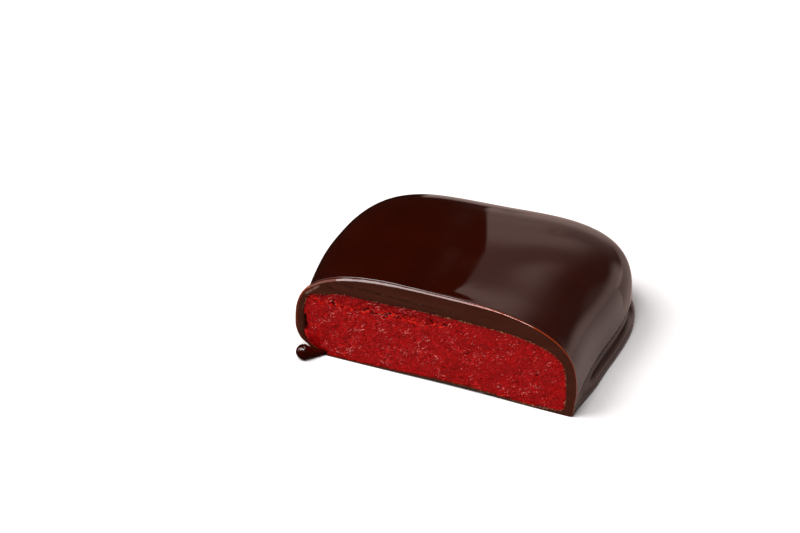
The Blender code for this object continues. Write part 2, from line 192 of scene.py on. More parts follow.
class Plan:
    """The half outline behind the cut, by share of its length from the right cut corner to the left one."""

    def __init__(self):
        angle = np.linspace(-0.5 * math.pi, 1.5 * math.pi, PLAN_SAMPLES)
        r = plan_radius(angle)
        x = r * np.cos(angle)
        y = CENTRE_Y + r * np.sin(angle)
        keep = y >= 0.0
        x = x[keep]
        y = y[keep]
        y[0] = 0.0
        y[-1] = 0.0
        run = run_along(x, y)
        nx = np.gradient(y, run)
        ny = -np.gradient(x, run) * smooth_step(y, 0.0, 2.5)
        size = np.hypot(nx, ny)
        self.share = run / run[-1]
        self.x = x
        self.y = y
        self.nx = nx / size
        self.ny = ny / size
        self.half = len(x) // 2

    def at(self, share):
        return [np.interp(share, self.share, a) for a in (self.x, self.y, self.nx, self.ny)]

    def share_at(self, y, left):
        """Share of the outline where it is y behind the cut, on the left or the right side."""
        side = slice(None, self.half, -1 if left else None)
        return np.interp(y, self.y[side], self.share[side])


def gentle_waves(x, y):
    """Slow unevenness of the set coating."""
    return WAVE_HEIGHT * np.sin(0.31 * x + 0.9) * np.cos(0.27 * y + 0.4)


def dome_height(x, y):
    ratio = np.hypot(x, y - CENTRE_Y) / plan_radius(plan_angle(x, y))
    ratio = np.minimum(ratio, 1.0)
    shape = (1.0 - ratio ** DOME_POWER) ** (1.0 / DOME_POWER)
    rise = DOME_RISE - BACK_DROP * (y / BACK_DROP_Y) ** 2
    return BELLY_Z + rise * shape + gentle_waves(x, y) * smooth_step(shape, 0.25, 0.9)


def side_hollow(x, y, z):
    """Sideways shift of the skin: pressed in just behind the left cut edge, fuller further back."""
    left = smooth_step(-x, 8.0, 14.0) * smooth_step(z, 1.2, 4.0)
    near = (y / HOLLOW_AT) ** 2 * np.exp(2.0 - 2.0 * y / HOLLOW_AT)
    back = np.exp(-((y - FULLER_AT) / FULLER_WIDTH) ** 2)
    return left * (HOLLOW_DEPTH * near - FULLER_RISE * back)


def arch_height(x, y):
    """Shallow hollow of the underside, exactly flat near the edge."""
    wide = np.where(x > ARCH_X, ARCH_RIGHT, ARCH_LEFT)
    across = np.clip(1.0 - ((x - ARCH_X) / (ARCH_SPREAD * wide)) ** 2, 0.0, 1.0) ** 3
    deep = np.clip(1.0 - (y / ARCH_END_Y) ** 2, 0.0, 1.0) ** 2
    return ARCH * across * deep


def run_along(x, y):
    """Length along a curve up to each of its points."""
    return np.concatenate([[0.0], np.cumsum(np.hypot(np.diff(x), np.diff(y)))])


def ring_steps(power, rise, reach, count=600):
    """Radial steps that follow the length of a dome's profile."""
    t = np.sin(np.linspace(0.0, 0.5 * math.pi, count)) ** (2.0 / power)
    z = rise * (1.0 - np.minimum(t, 1.0) ** power) ** (1.0 / power)
    run = run_along(t * reach, z)
    return run / run[-1], t


def profile_at(profile, share):
    """Offset and height at a share of the wall's length."""
    profile = np.array(profile)
    length = run_along(*profile.T)
    length = length / length[-1]
    return smooth_curve(share, length, profile[:, 0]), smooth_curve(share, length, profile[:, 1])


class OuterSkin:
    """Outside of the coating: top grid, wall and floor grid that share their edges, open at the cut."""

    def __init__(self):
        self.plan = Plan()
        self.points = []
        self.count = 0
        self.ring, self.share = self.cells()
        self.make_top()
        self.make_wall()
        self.make_floor()
        self.points = np.concatenate(self.points)
        faces = [grid_faces(self.top), grid_faces(self.wall), grid_faces(self.floor)[:, ::-1]]
        self.faces = np.concatenate(faces)

    def add(self, x, y, z):
        index = self.count + np.arange(x.size).reshape(x.shape)
        self.points.append(np.stack([x, y, z], -1).reshape(-1, 3))
        self.count += index.size
        return index

    def cells(self):
        """Ring (0 middle of the cut, 1 edge) and outline share of every grid corner."""
        i, j = np.meshgrid(np.arange(-COLUMNS, COLUMNS + 1), np.arange(NATURAL_ROW, ROWS + 1))
        a = np.abs(i) / COLUMNS
        b = j / ROWS
        ring = np.maximum(a, b)
        rim = 2.0 * ROWS + 2.0 * COLUMNS
        side = b / ring * ROWS / rim
        side = np.where(i > 0, side, 1.0 - side)
        back = (ROWS + (1.0 - i / COLUMNS / ring) * COLUMNS) / rim
        natural = np.where(a >= b, side, back)
        i, y = np.meshgrid(i[0], EDGE_ROWS)
        edge = np.where(i > 0, self.plan.share_at(y, False), self.plan.share_at(y, True))
        return np.vstack([np.abs(i) / COLUMNS, ring]), np.vstack([edge, natural])

    def lay_rows(self, spacing, share, x, y):
        """Plan positions of the grid, its rings spaced inside an outline that is given by share."""
        x = np.interp(self.share, share, x) * spacing
        y = np.interp(self.share, share, y) * spacing
        y[:len(EDGE_ROWS)] = np.array(EDGE_ROWS)[:, None]
        return x, y

    def make_top(self):
        share, t = ring_steps(DOME_POWER, DOME_RISE, DOME_REACH)
        spacing = np.where(self.ring >= 1.0, 1.0, np.interp(self.ring, share, t))
        x, y = self.lay_rows(spacing, self.plan.share, self.plan.x, self.plan.y)
        self.top = self.add(x, y, np.where(self.ring >= 1.0, BELLY_Z, dome_height(x, y)))

    def rim_cells(self):
        """Grid rows and columns of the edge, from the right cut corner round the back to the left one."""
        count = len(self.ring)
        rows = np.arange(count)
        across = np.arange(2 * COLUMNS - 1, 0, -1)
        row = np.concatenate([rows, np.full(len(across), count - 1), rows[::-1]])
        column = np.concatenate([np.full(count, 2 * COLUMNS), across, np.zeros(count, int)])
        return row, column

    def make_wall(self):
        row, column = self.rim_cells()
        share = self.share[row, column]
        x, y, nx, ny = self.plan.at(share)
        level = np.linspace(0.0, 1.0, LEVELS + 1)
        near = 1.0 - smooth_step(y, 0.0, FOOT_FADE)[:, None]
        foot, right, left = [profile_at(p, level) for p in (FOOT_PROFILE, RIGHT_PROFILE, LEFT_PROFILE)]
        corner = [np.where(share[:, None] < 0.5, a, b) for a, b in zip(right, left)]
        d, z = [a * (1.0 - near) + b * near for a, b in zip(foot, corner)]
        new = self.add(x[:, None] + nx[:, None] * d[:, 1:], y[:, None] + ny[:, None] * d[:, 1:], z[:, 1:])
        self.wall = np.hstack([self.top[row, column][:, None], new])
        self.foot_outline = share, x + nx * d[:, -1], y + ny * d[:, -1]

    def make_floor(self):
        x, y = self.lay_rows(self.ring, *self.foot_outline)
        index = self.add(x, y, np.maximum(arch_height(x, y), 0.0))
        row, column = self.rim_cells()
        index[row, column] = self.wall[:, -1]
        self.floor = index

    def loop(self):
        """The open front edge, once round: over the top to the left, down, along the floor, up again."""
        over = self.top[0, ::-1]
        left = self.wall[-1, 1:]
        under = self.floor[0, 1:-1]
        right = self.wall[0, :0:-1]
        return np.concatenate([over, left, under, right])


def grid_faces(index):
    """Quads of a grid of point numbers."""
    return np.stack([index[:-1, :-1], index[:-1, 1:], index[1:, 1:], index[1:, :-1]], -1).reshape(-1, 4)


def ring_faces(first, second):
    """Quads between two closed loops of equal length."""
    return np.stack([first, np.roll(first, -1), np.roll(second, -1), second], -1)


def point_normals(points, faces):
    a = points[faces[:, 2]] - points[faces[:, 0]]
    b = points[faces[:, 3]] - points[faces[:, 1]]
    n = np.cross(a, b)
    total = np.zeros_like(points)
    for k in range(4):
        np.add.at(total, faces[:, k], n)
    return total / np.maximum(np.linalg.norm(total, axis=1), 1e-12)[:, None]


def cavity_curves(columns, levels):
    """The four sides of the hollow's outline in the cut: over, left, under and right, as x and z."""
    plan = Plan()
    reach_right = plan.x[0] - WALL_RIGHT
    reach_left = -plan.x[-1] - WALL_LEFT
    share, t = ring_steps(CAVITY_POWER, CAVITY_TOP_Z - CAVITY_BELLY_Z, CAVITY_REACH)
    i = np.arange(columns, -columns - 1, -1)
    s = np.interp(np.abs(i) / columns, share, t)
    s[np.abs(i) == columns] = 1.0
    x = np.where(i >= 0, s * reach_right, -s * reach_left)
    power = np.where(x < 0.0, CAVITY_LEFT_POWER, CAVITY_POWER)
    shape = (1.0 - s ** power) ** (1.0 / power)
    dip = sum(depth * np.exp(-((x - at) / width) ** 2) for at, width, depth in CAVITY_DIPS)
    over = np.stack([x, CAVITY_BELLY_Z + (CAVITY_TOP_Z - CAVITY_BELLY_Z - dip) * shape], -1)
    level = np.linspace(0.0, 1.0, levels + 1)
    d, z = profile_at(CAVITY_LEFT_PROFILE, level)
    left = np.stack([-reach_left - d, z], -1)
    d, z = profile_at(CAVITY_PROFILE, level)
    right = np.stack([reach_right + d, z], -1)[::-1]
    x = np.linspace(left[-1, 0], right[0, 0], 2 * columns + 1)
    thick = np.interp(x, BASE_X, BASE_THICK)
    under = np.stack([x, thick + arch_height(x, 0.0 * x)], -1)
    under[0] = left[-1]
    under[-1] = right[0]
    return over, left, under, right


def cut_points(x, z):
    return np.stack([x, 0.0 * x, z], -1)


def ragged(points, seed, amount):
    """Uneven edge: the outline shifted in its own plane."""
    flat = cut_points(*points.T)
    dx = noise(flat, 1.1, seed) * 0.6 + noise(flat, 0.35, seed + 1) * 0.4
    dz = noise(flat, 0.9, seed + 2) * 0.6 + noise(flat, 0.3, seed + 3) * 0.4
    return points + amount * np.stack([dx, dz], -1)


def cavity_loop(columns, levels):
    over, left, under, right = cavity_curves(columns, levels)
    return np.concatenate([over, left[1:], under[1:-1], right[:-1]])


def lip_strength(x, z):
    """How far the cut edge is curled: strongest over the top, slight down the sides, none underneath."""
    top = 1.0 - 0.30 * smooth_step(x, -8.0, -1.0) - 0.52 * smooth_step(x, 2.0, 9.0)
    top *= smooth_step(x, -15.6, -13.4)
    side = np.where(x < 0.0, 0.34, 0.24 - 0.14 * smooth_step(x, 8.0, 12.0))
    return np.maximum(top * smooth_step(z, 6.0, 9.0), side) * smooth_step(z, 0.2, 1.2)


# Rows behind the cut edge with the shift to the back and the rise of the lip, then its bevel down to the cut.
LIP_Y = (0.0, 0.03, 0.06, 0.10, 0.14, 0.18, 0.22, 0.27, 0.33, 0.40, 0.50, 0.62, 0.76, 0.95)
LIP_SHIFT = (0.245, 0.222, 0.196, 0.175, 0.170, 0.165, 0.145, 0.12, 0.09, 0.06, 0.04, 0.03, 0.02, 0.0)
LIP_RISE = (-0.125, -0.090, -0.045, -0.015, 0.008, 0.030, 0.030, 0.012, -0.020, -0.042, -0.046, -0.030,
            -0.010, 0.0)
BEVEL = ((0.225, -0.142), (0.170, -0.180), (0.110, -0.221), (0.050, -0.262), (0.018, -0.285), (0.0, -0.305),
         (0.012, -0.330), (0.034, -0.345), (0.034, -0.370), (0.008, -0.395), (0.0, -0.42))

CREST_Y = (0.0, 1.0, 2.1, 3.7, 5.9, 8.6, 11.2, 15.6, 18.0)
CREST_X = (0.4, 1.5, 2.3, 2.75, 2.76, 2.34, 1.49, -0.14, -1.1)
CREST_RISE = 0.085
CREST_WIDTH = 2.2
CREST_ROUND = 0.32


def crest(p):
    """Very low ridge across the top, from the cut to the back, where the set coating changes its slope."""
    aside = p[:, 0] - smooth_curve(p[:, 1], CREST_Y, CREST_X)
    rise = np.exp(-np.sqrt(aside ** 2 + CREST_ROUND ** 2) / CREST_WIDTH)
    return CREST_RISE * rise * (1.0 - smooth_step(p[:, 1], 16.0, 22.0)) * smooth_step(p[:, 2], 8.0, 9.5)


DIMPLE_AT = (7.4, 16.6)
DIMPLE_SIZE = (0.55, 0.28)
DIMPLE_DEPTH = 0.05


def shape_shell(skin):
    """Final points of the outer skin: hollow, curled cut edge and flow marks."""
    p = skin.points.copy()
    p[:, 0] += side_hollow(p[:, 0], p[:, 1], p[:, 2])
    normal = point_normals(p, skin.faces)
    flow = noise(p * (1.0, 1.0, 0.6), 7.5, 3) * 0.012 + noise(p * (1.0, 0.7, 1.0), 2.6, 4) * 0.0020
    quiet = smooth_step(p[:, 1], 0.4, 2.0) * smooth_step(p[:, 2], 0.3, 1.5)
    place = (p[:, :2] - DIMPLE_AT) / DIMPLE_SIZE
    dimple = np.exp(-(place ** 2).sum(1)) * (p[:, 2] > 6.0)
    p += normal * (flow * quiet + crest(p) * smooth_step(p[:, 1], 0.2, 1.2) - DIMPLE_DEPTH * dimple)[:, None]
    section = normal * (1.0, 0.0, 1.0)
    section /= np.maximum(np.linalg.norm(section, axis=1), 1e-9)[:, None]
    strength = lip_strength(p[:, 0], p[:, 2])
    near = skin.points[:, 1]
    wobble = 1.0 + 0.25 * noise(p * (1.0, 0.0, 1.0), 1.4, 5)
    p += section * (np.interp(near, LIP_Y, LIP_RISE, right=0.0) * strength * wobble)[:, None]
    p[:, 1] += np.interp(near, LIP_Y, LIP_SHIFT, right=0.0) * strength
    return p, section, strength


# Marks on the cut coating: start, end and width of the nicks, whose shade is painted dark, and of the smeared
# patch, whose sheen is painted pale; then the keys of the crumbly streak.
NICKS = (((-12.32, 9.45), (-11.51, 9.15), 0.07), ((-9.62, 9.98), (-9.40, 9.93), 0.07),
         ((-9.36, 9.68), (-9.20, 9.60), 0.06), ((-8.50, 9.90), (-8.25, 9.86), 0.07))
SMEAR = ((-14.68, 7.74), (-13.26, 9.06), 0.12)
STREAK_X = (-10.8, -8.0, -4.0, 3.0)
STREAK_Z = (10.02, 10.0, 9.95, 9.85)


def near_line(x, z, start, end, width):
    """One on a short line, fading to nothing at its width."""
    a = np.array(start)
    along = np.array(end) - a
    share = np.clip(((x - a[0]) * along[0] + (z - a[1]) * along[1]) / (along @ along), 0.0, 1.0)
    gap = np.hypot(x - a[0] - share * along[0], z - a[1] - share * along[1])
    return np.exp(-(gap / width) ** 2)


def cut_marks(p):
    """Painted shade in the nicks and the darker faint crumbly streak of the cut coating, and the pale smeared
    patch at its left shoulder with its sheen painted in.
    """
    x = p[:, 0]
    z = p[:, 2]
    dark = sum(near_line(x, z, *nick) for nick in NICKS)
    streak = np.exp(-((z - np.interp(x, STREAK_X, STREAK_Z)) / 0.09) ** 2)
    streak *= smooth_step(x, -11.2, -10.0) * (1.0 - smooth_step(x, 0.0, 4.0))
    dark = np.clip(dark + streak * (0.45 + 0.9 * noise(p * (0.5, 0.0, 1.0), 0.25, 33)), 0.0, 1.0)
    pale = near_line(x, z, *SMEAR) * (0.75 + 0.6 * noise(p * (1.0, 0.0, 1.0), 0.3, 34))
    return dark, np.clip(pale, 0.0, 1.0)


def rim_glow_share(strength):
    """How much of the painted orange-brown glow, light shining through the thin edge, it gets where it isn't
    curled into a lip.
    """
    return 1.0 - 0.80 * smooth_step(strength, 0.3, 0.8)


# Width of the painted orange-brown edge glow on the outer skin, and the bevel heights where that glow and the
# cut face begin.
RIM_WIDTH = 0.13
RIM_RISE = -0.35
CUT_RISE = -0.29


def shell_parts():
    """Points, faces, back cap, cut zone and painted edge glow of the whole shell."""
    skin = OuterSkin()
    p, section, strength = shape_shell(skin)
    loop = skin.loop()
    flat = skin.points[loop].copy()
    flat[:, 0] += side_hollow(flat[:, 0], 0.0 * flat[:, 1], flat[:, 2])
    g = strength[loop][:, None]
    # Painted glow of light through the thin outer edge, strongest right at the cut.
    rim = np.clip(1.0 - skin.points[:, 1] / RIM_WIDTH, 0.0, 1.0) * smooth_step(p[:, 2], 0.02, 0.2)
    rim_glows = [rim * rim_glow_share(strength)]
    kinds = [np.zeros(len(skin.faces), int)]
    wobble = 1.0 + 0.10 * noise(flat * (1.0, 0.0, 1.0), 0.9, 6)[:, None]
    rings = []
    for y, rise in BEVEL:
        ring = flat + section[loop] * (rise * g * wobble)
        ring[:, 1] = y * g[:, 0]
        rings.append(ring)
        kinds.append(np.full(len(ring), int(rise <= CUT_RISE)))
        rim_glows.append(float(rise > RIM_RISE) * rim_glow_share(g[:, 0]))
    start = rings[-1]
    goal = cut_points(*ragged(cavity_loop(COLUMNS, LEVELS), 20, 0.05).T)
    for k in range(1, FACE_RINGS + 1):
        t = k / FACE_RINGS
        ring = start * (1.0 - t) + goal * t
        ring[:, 1] = cut_relief(ring) * smooth_step(t, 0.0, 0.12) + 0.05 * smooth_step(t, 0.9, 1.0)
        rings.append(ring)
        kinds.append(np.ones(len(ring), int))
        # The painted edge glow runs a little way onto the cut face.
        rim_glows.append(max(0.0, 0.95 - 0.15 * k) * (1.0 - smooth_step(ring[:, 0], -14.6, -13.6)))
    tunnel = tunnel_rings(goal, 0.0)
    kinds.append(np.ones(len(tunnel) * len(goal), int))
    rim_glows.append(np.zeros(len(tunnel) * len(goal)))
    rings += tunnel
    points = np.concatenate([p] + rings)
    faces = [skin.faces] + ring_chain(rings, len(p), loop)
    cap = np.arange(len(points) - len(goal), len(points))
    return points, faces, cap, np.concatenate(kinds), np.concatenate(rim_glows)


def ring_chain(rings, count, last):
    """Quads from loop to loop, the rings' points being numbered from count on."""
    faces = []
    for ring in rings:
        index = count + np.arange(len(ring))
        faces.append(ring_faces(last, index))
        count += len(ring)
        last = index
    return faces


def tunnel_rings(front, shrink):
    """Rings from the front outline to the closed back of the hollow."""
    rings = []
    for k in range(1, TUNNEL_RINGS + 1):
        t = math.sin(0.5 * math.pi * k / TUNNEL_RINGS)
        y = CAVITY_START_Y + (CAVITY_END_Y - shrink - CAVITY_START_Y) * t
        wide = (1.0 - (y / (CAVITY_END_Y + 0.6)) ** 5) ** 0.2
        ring = CAVITY_MIDDLE + (front - CAVITY_MIDDLE) * (0.985 * wide, 0.0, 0.975 * (0.4 + 0.6 * wide))
        ring[:, 1] = y
        rings.append(ring)
    return rings


def cut_relief(ring):
    """Faint marks that the knife left on the cut coating, as depth behind the cut plane."""
    p = ring * (0.25, 0.0, 1.0)
    streak = noise(p, 0.22, 30) * 0.006 + noise(p, 0.6, 31) * 0.012
    grit = np.maximum(noise(ring * (1.0, 0.0, 1.0), 0.28, 32) - 0.42, 0.0) * 0.12
    return 0.02 + streak + grit


def ridge(value, narrow):
    """Thin crests where a noise crosses zero."""
    return np.maximum(1.0 - np.abs(value) * narrow, 0.0) ** 2


def turned(p, degrees, squeeze):
    """Points turned in the cut plane and squeezed across the new upright axis."""
    c = math.cos(math.radians(degrees))
    s = math.sin(math.radians(degrees))
    return np.stack([(p[:, 0] * c + p[:, 2] * s) / squeeze, p[:, 1], p[:, 2] * c - p[:, 0] * s], -1)


FLAP = ((-14.85, 2.5), (-14.4, 1.2), 0.10)


def centre_relief(x, z):
    """Depth of the red face behind the cut plane, its tone, and how torn. The tone has painted shade in the
    hollows and painted highlight on the standing strands, crumbs and fine grain.
    """
    p = cut_points(x, z)
    warp = cut_points(noise(p, 0.9, 40), noise(p, 0.9, 41))
    q = p + 0.45 * warp
    lumps = noise(p, 2.6, 42) * 0.07 + noise(q, 1.1, 43) * 0.06
    patch = smooth_step(noise(p, 1.6, 46), -0.3, 0.35)
    strands = ridge(noise(turned(q, 40.0, 2.6), 0.28, 44), 3.6)
    crumbs = ridge(noise(q + 3.0, 0.20, 45), 3.0)
    fine_grain_and_glint = noise(p, 0.13, 47)
    hollow = np.maximum(noise(q - 5.0, 0.36, 49) - 0.50, 0.0)
    cloud = noise(q, 0.75, 55)
    raised_and_painted_light = strands * (0.20 + 0.50 * patch) + crumbs * 0.45
    torn, in_band, shade = torn_band(x, z, q)
    flap = near_line(x, z, *FLAP)
    depth = 0.15 + lumps - 0.070 * raised_and_painted_light - 0.030 * fine_grain_and_glint + 0.30 * hollow + torn + pits(x, z) - 0.10 * flap
    # Painted shade darkens the hollows and painted highlight lightens the strands, crumbs and fine grain; the
    # cloud is the toffee's own uneven tone and the flap its lighter red.
    tone = 0.29 + 0.54 * raised_and_painted_light - 1.4 * hollow + 0.46 * fine_grain_and_glint + 0.15 * cloud + shade + 0.4 * flap
    return depth, tone, in_band


SEAM_X = (-14.6, -13.1, -11.3, -9.6, -7.9, -6.1, -4.4, -2.9, -1.5, 0.2, 2.5, 5.0)
SEAM_Z = (7.10, 6.86, 6.80, 6.78, 6.91, 7.02, 7.18, 7.22, 7.18, 7.43, 8.00, 8.60)


def torn_band(x, z, q):
    """Broken seam under the coating, from the left corner past the middle: depth, presence, and brightness
    with painted shade in its gaps and painted highlight on its smeared ridges and crumbs.
    """
    low = smooth_curve(x, SEAM_X, SEAM_Z) + 0.10 * noise(q, 0.9, 54)
    fade = 1.0 - smooth_step(x, -1.0, 5.5)
    above = smooth_step(z, low - 0.06, low + 0.10) * fade
    thick = smooth_step(x, -6.5, -4.5) * (1.0 - smooth_step(x, -0.5, 1.5))
    seam = np.exp(-((z - low - 0.22 - 0.12 * thick) / (0.26 + 0.18 * thick)) ** 2) * fade
    smear_and_sheen = ridge(noise(turned(q, -18.0, 2.2), 0.40, 52), 2.4)
    gaps = smooth_step(noise(turned(q, -18.0, 1.7), 0.36, 50) + 0.5 * noise(q, 0.2, 56), 0.10, 0.50)
    rough = above * (1.0 - seam)
    crumbly = ridge(noise(q, 0.24, 53), 2.6)
    depth = above * (0.10 + 0.10 * noise(q, 0.8, 51)) + seam * (0.14 * gaps - 0.12 * smear_and_sheen)
    depth -= 0.05 * rough * crumbly
    # Painted shade in the gaps, painted highlight on the smeared ridges and crumbs; darker just above the
    # seam.
    shade = seam * (0.50 * smear_and_sheen - 0.85 * gaps - 0.03) + rough * (0.60 * crumbly - 0.24)
    return depth, np.clip(seam * 1.2, 0.0, 1.0), shade


PIT_AT = (11.8, 4.25)
PIT_SIZE = (0.20, 0.16)
PIT_DEPTH = 0.28
CRACK_X = -14.90
CRACK_DEPTH = 0.8


def pits(x, z):
    """Depth of the small pit at the right and of the crack beside the left wall."""
    pit = np.exp(-(((x - PIT_AT[0]) / PIT_SIZE[0]) ** 2 + ((z - PIT_AT[1]) / PIT_SIZE[1]) ** 2))
    wide = 0.12 + 0.26 * noise(cut_points(0.0 * x, z), 0.45, 57)
    crack = 1.0 - smooth_step(x - CRACK_X, wide, wide + 0.08)
    crack *= smooth_step(z, 2.6, 2.9) * (1.0 - smooth_step(z, 4.4, 4.9))
    return PIT_DEPTH * pit + CRACK_DEPTH * crack


def centre_parts():
    """Points, faces and the back cap of the red centre, with its broken front."""
    over, left, under, right = [ragged(c, 20, 0.05) for c in cavity_curves(COLUMNS, LEVELS)]
    nu = CENTRE_COLUMNS
    nv = CENTRE_ROWS
    up = resample(over[::-1], nu)
    down = resample(under, nu)
    west = resample(left, nv)
    east = resample(right[::-1], nv)
    u = np.linspace(0.0, 1.0, nu + 1)[None, :, None]
    v = np.linspace(0.0, 1.0, nv + 1)[:, None, None]
    p = (1 - v) * up[None] + v * down[None] + (1 - u) * west[:, None] + u * east[:, None]
    p -= (1 - u) * ((1 - v) * up[0] + v * down[0]) + u * ((1 - v) * up[-1] + v * down[-1])
    x = p[..., 0].ravel()
    z = p[..., 1].ravel()
    depth, raised_and_painted_light, torn = centre_relief(x, z)
    points = np.stack([x, np.clip(depth, -0.10, 1.2), z], -1)
    index = np.arange(len(points)).reshape(nv + 1, nu + 1)
    faces = [grid_faces(index)[:, ::-1]]
    loop = np.concatenate([index[0, ::-1], index[1:, 0], index[-1, 1:], index[-2:0:-1, -1]])
    front = points[loop]
    tunnel = tunnel_rings(front, 0.2)
    faces += [f[:, ::-1] for f in ring_chain(tunnel, len(points), loop)]
    whole = np.concatenate([points] + [shrink_ring(r, 0.02) for r in tunnel])
    cap = np.arange(len(whole) - len(front), len(whole))[::-1]
    rest = np.zeros(len(whole) - len(points))
    return whole, faces, cap, np.concatenate([raised_and_painted_light, rest]), np.concatenate([torn, rest])


def shrink_ring(ring, amount):
    away = (ring - CAVITY_MIDDLE) * (1.0, 0.0, 1.0)
    size = np.linalg.norm(away, axis=1)[:, None]
    return ring - away / size * amount


def resample(curve, count):
    run = run_along(*curve.T)
    at = np.linspace(0.0, run[-1], count + 1)
    return np.stack([np.interp(at, run, curve[:, 0]), np.interp(at, run, curve[:, 1])], -1)


def place_shift(points):
    """The move from the sweet's own frame to the part's frame, read from the box of its shell."""
    low, high = (Vector(c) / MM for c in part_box("chocolate_shell"))
    x = high.x - points[:, 0].max()
    y = low.y - (BEAD_AT[1] - BEAD_RADIUS)
    return np.array([x, y, 0.0])


def add_object(name, data):
    obj = bpy.data.objects.new(name, data)
    bpy.context.scene.collection.objects.link(obj)
    return obj


def make_piece(name, points, faces, caps, shift, node, materials, kinds=None):
    mesh = bpy.data.meshes.new(name)
    quads = np.concatenate(faces).tolist() + [list(map(int, cap)) for cap in caps]
    mesh.from_pydata(((points + shift) * MM).tolist(), [], quads)
    for material in materials:
        mesh.materials.append(material)
    if kinds is not None:
        kinds = np.concatenate([kinds, np.full(len(caps), kinds[-1])]).astype(np.int32)
        mesh.polygons.foreach_set("material_index", kinds)
    mesh.polygons.foreach_set("use_smooth", np.ones(len(mesh.polygons), bool))
    mesh.update()
    obj = add_object(name, mesh)
    if node:
        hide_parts(node)
    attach(obj, "root")
    return obj


class Nodes:
    """A node tree, and short calls for what the materials and the studio share."""

    def __init__(self, tree):
        self.nodes = tree.nodes
        self.links = tree.links

    def fill(self, inputs, values):
        """Sets sockets, named or numbered, to plain values or links them to outputs."""
        for key, value in values.items():
            if isinstance(value, bpy.types.NodeSocket):
                self.links.new(value, inputs[key])
            elif inputs[key].type == "RGBA":
                inputs[key].default_value = (*value, 1.0)
            else:
                inputs[key].default_value = value

    def add(self, kind, values, **settings):
        node = self.nodes.new("ShaderNode" + kind)
        for name, setting in settings.items():
            setattr(node, name, setting)
        self.fill(node.inputs, values)
        return node

    def texture(self, scale, detail=3.0, stretch=(1.0, 1.0, 1.0)):
        """Noise in object space, scale in features per metre."""
        place = self.add("TexCoord", {}).outputs["Object"]
        mapped = self.add("Mapping", {"Vector": place, "Scale": stretch}).outputs["Vector"]
        return self.add("TexNoise", {"Vector": mapped, "Scale": scale, "Detail": detail}).outputs["Fac"]

    def ramp(self, source, *stops):
        node = self.add("ValToRGB", {"Fac": source})
        elements = node.color_ramp.elements
        for k in (0, -1):
            elements[k].position = stops[k][0]
            elements[k].color = (*stops[k][1], 1.0)
        for at, colour in stops[1:-1]:
            elements.new(at).color = (*colour, 1.0)
        return node.outputs["Color"]

    def to_range(self, source, low, high, out_low, out_high, **settings):
        values = {"Value": source, "From Min": low, "From Max": high, "To Min": out_low, "To Max": out_high}
        return self.add("MapRange", values, **settings).outputs["Result"]

    def mix(self, factor, first, second):
        return self.add("Mix", {"Factor": factor, 6: first, 7: second}, data_type="RGBA").outputs[2]

    def bump(self, source, distance, strength):
        values = {"Height": source, "Distance": distance, "Strength": strength}
        return self.add("Bump", values).outputs["Normal"]

    def attribute(self, name):
        return self.add("Attribute", {}, attribute_name=name).outputs["Fac"]

    def calculate(self, operation, first, second=0.0):
        return self.add("Math", {0: first, 1: second}, operation=operation).outputs[0]


def new_material(name):
    """A material, its tree, and the sockets of its surface shader."""
    material = bpy.data.materials.new(name)
    material.use_nodes = True
    tree = Nodes(material.node_tree)
    return material, tree, tree.nodes["Principled BSDF"].inputs


def gloss_chocolate(name, depth):
    """Set, shiny coating: near-black brown, slightly uneven gloss, and a painted orange-brown glow where the
    edge is thin.
    """
    material, tree, shader = new_material(name)
    slow = tree.texture(260.0)
    # depth scales the browns; above 1 it makes a lighter copy that paints light.
    browns = [tuple(depth * c for c in brown) for brown in ((0.015, 0.0012, 0.0002), (0.020, 0.0019, 0.0003))]
    body = tree.ramp(slow, (0.2, browns[0]), (0.8, browns[1]))
    # The rim attribute mixes in the painted glow of light through the thin edge.
    tree.fill(shader, {"Base Color": tree.mix(tree.attribute("rim"), body, (0.27, 0.034, 0.007)),
                       "Roughness": tree.to_range(slow, 0.2, 0.8, 0.070, 0.095), "IOR": 1.5})
    return material


def cut_chocolate():
    """Cut coating: matte mid brown with long faint streaks along the cut, painted shade in its nicks, a pale
    smeared patch with painted sheen, and the painted edge glow.
    """
    material, tree, shader = new_material("chocolate_cut")
    streak = tree.texture(1500.0, 4.0, (0.12, 1.0, 1.0))
    colour = tree.ramp(streak, (0.25, (0.044, 0.0060, 0.0004)), (0.75, (0.057, 0.0086, 0.0010)))
    # Tints: painted shade in the nicks and a darker streak, a pale smeared patch whose sheen is painted in,
    # and the painted orange glow of the thin edge.
    for mark, tint in (("nick", (0.010, 0.0025, 0.0010)), ("smear_and_sheen", (0.200, 0.105, 0.080)),
                       ("rim", (0.17, 0.025, 0.004))):
        colour = tree.mix(tree.attribute(mark), colour, tint)
    tree.fill(shader, {"Base Color": colour, "Roughness": tree.to_range(streak, 0.3, 0.7, 0.46, 0.62),
                       "Specular IOR Level": 0.15, "Normal": tree.bump(streak, 0.00003, 0.5)})
    return material


